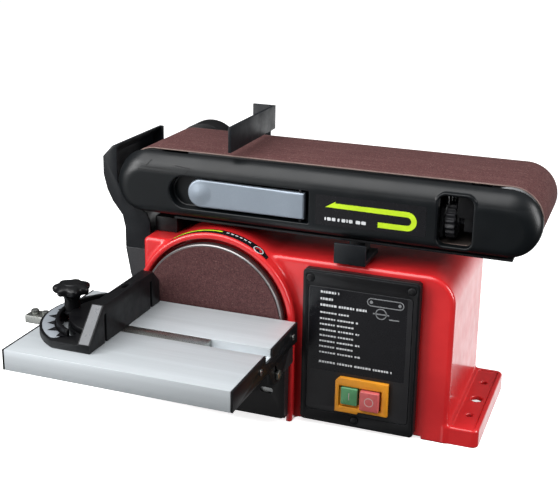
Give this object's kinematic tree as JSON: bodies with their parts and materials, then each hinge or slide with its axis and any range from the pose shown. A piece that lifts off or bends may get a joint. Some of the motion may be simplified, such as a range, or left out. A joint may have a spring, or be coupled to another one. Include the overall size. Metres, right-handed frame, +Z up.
{
  "type": "belt disc sander",
  "caption": "Bench-top belt and disc sander: tilting belt arm over a red cast base, disc with tilting slotted table, mitre gauge, switch panel.",
  "frame": {"origin": "centre of the machine's bounding box at bench level", "axes": "+X right along the sanding belt, away from its drive roller; +Y to the rear, the disc and switch face -Y; +Z up"},
  "size_m": [0.4722, 0.338, 0.292],
  "materials": {
    "red_paint": "semi-gloss, slight orange peel",
    "black_plastic": "satin moulded",
    "black_paint": "satin black paint",
    "grey_paint": "satin dark grey paint",
    "motor_grey": "matt grey paint",
    "cast_aluminium": "as cast and machined",
    "table_aluminium": "extruded, brushed along X",
    "steel": "zinc plated or ground",
    "lever_silver": "silver paint",
    "abrasive": "coated abrasive, fine grit",
    "rubber": "matt",
    "copper": "varnished windings",
    "yellow_plastic": "satin",
    "green_plastic": "satin",
    "red_plastic": "satin"
  },
  "bodies": {
    "root": {"base_housing": "red_paint", "bottom_plate": "steel", "cord_inlet": "rubber", "lower_disc_guard": "black_plastic", "switch_panel": "black_plastic", "panel_screw_1": "black_paint", "panel_screw_2": "black_paint", "panel_screw_3": "black_paint", "switch_bezel": "yellow_plastic", "switch_body": "black_plastic", "motor_casing": "motor_grey", "stator": "copper", "motor_end_bell": "cast_aluminium", "front_bearing": "steel", "rear_bearing": "steel", "capacitor": "motor_grey", "drive_belt": "rubber", "pivot_pillar": "black_paint", "drive_cover": "black_plastic", "left_guard": "black_paint", "guard_skirt": "grey_paint", "arm_rest": "black_paint", "table_lock_bolt": "steel"},
    "rotor": {"rotor_shaft": "steel", "cooling_fan": "black_plastic", "disc_platter": "cast_aluminium", "abrasive_disc": "abrasive", "motor_pulley": "steel"},
    "arm": {"arm_frame": "grey_paint", "platen": "steel", "front_cover": "black_plastic", "sanding_belt": "abrasive", "lower_belt_guard": "black_paint", "stop_fence": "grey_paint", "fence_bolt": "steel", "roller_bearing": "steel", "lever_pin": "steel", "tension_spring": "steel"},
    "driven_roller": {"drive_roller": "rubber", "roller_pulley": "steel"},
    "idler_carriage": {"idler_carriage": "grey_paint"},
    "idler_roller": {"idler_roller": "cast_aluminium"},
    "tension_lever": {"tension_lever": "lever_silver"},
    "tracking_knob": {"tracking_knob": "black_plastic"},
    "table": {"table_top": "table_aluminium", "end_cap_left": "black_plastic", "end_cap_right": "black_plastic", "cap_screw_1": "steel", "cap_screw_2": "steel", "trunnion_left": "black_paint", "trunnion_right": "black_paint"},
    "gauge_bar": {"gauge_bar": "table_aluminium", "bar_bolt_1": "steel", "bar_bolt_2": "steel"},
    "gauge_head": {"gauge_head": "black_plastic", "angle_scale": "table_aluminium"},
    "gauge_knob": {"gauge_knob": "black_plastic"},
    "table_lock_knob": {"table_lock_knob": "black_plastic"},
    "start_button": {"start_button": "green_plastic"},
    "stop_button": {"stop_button": "red_plastic"}
  },
  "joints": [
    {"name": "arm_tilt", "type": "hinge", "parent": "root", "child": "arm", "pos_m": [-0.15536, 0.0793, 0.23], "axis": [0, -1, 0], "range_deg": [0, 90]},
    {"name": "motor_spin", "type": "hinge", "parent": "root", "child": "rotor", "pos_m": [-0.07806, -0.006, 0.102], "axis": [0, 1, 0], "continuous": true},
    {"name": "drive_roller_spin", "type": "hinge", "parent": "arm", "child": "driven_roller", "pos_m": [-0.15536, 0.0793, 0.23], "axis": [0, 1, 0], "continuous": true},
    {"name": "lever_swing", "type": "hinge", "parent": "arm", "child": "tension_lever", "pos_m": [0.00674, 0.018, 0.2225], "axis": [0, 0, 1], "range_deg": [0, 90]},
    {"name": "idler_slide", "type": "slide", "parent": "arm", "child": "idler_carriage", "axis": [1, 0, 0], "range_m": [-0.00402, 0]},
    {"name": "idler_spin", "type": "hinge", "parent": "idler_carriage", "child": "idler_roller", "pos_m": [0.20456, 0.0793, 0.23], "axis": [0, 1, 0], "continuous": true},
    {"name": "tracking_turn", "type": "hinge", "parent": "arm", "child": "tracking_knob", "pos_m": [0.15094, 0.039, 0.22], "axis": [1, 0, 0], "range_deg": [-180, 180]},
    {"name": "table_tilt", "type": "hinge", "parent": "root", "child": "table", "pos_m": [-0.07806, -0.02, 0.097], "axis": [1, 0, 0], "range_deg": [0, 35]},
    {"name": "gauge_slide", "type": "slide", "parent": "table", "child": "gauge_bar", "axis": [1, 0, 0], "range_m": [-0.04, 0.14]},
    {"name": "gauge_turn", "type": "hinge", "parent": "gauge_bar", "child": "gauge_head", "pos_m": [-0.13806, -0.0845, 0.117], "axis": [0, 0, 1], "range_deg": [-60, 60]},
    {"name": "gauge_knob_turn", "type": "hinge", "parent": "gauge_bar", "child": "gauge_knob", "pos_m": [-0.18806, -0.0845, 0.14], "axis": [0, 0, 1], "range_deg": [0, 270]},
    {"name": "table_lock_turn", "type": "hinge", "parent": "root", "child": "table_lock_knob", "pos_m": [-0.17506, -0.05, 0.075], "axis": [1, 0, 0], "range_deg": [0, 270]},
    {"name": "start_press", "type": "slide", "parent": "root", "child": "start_button", "axis": [0, 1, 0], "range_m": [0, 0.003], "stiffness_N_per_m": 400},
    {"name": "stop_press", "type": "slide", "parent": "root", "child": "stop_button", "axis": [0, 1, 0], "range_m": [0, 0.003], "stiffness_N_per_m": 400}
  ],
  "couplings": [
    {"joint": "drive_roller_spin", "follows": "motor_spin", "ratio": 0.78571},
    {"joint": "idler_spin", "follows": "motor_spin", "ratio": 0.78571},
    {"joint": "idler_slide", "follows": "lever_swing", "m_per_rad": -0.0025465}
  ]
}
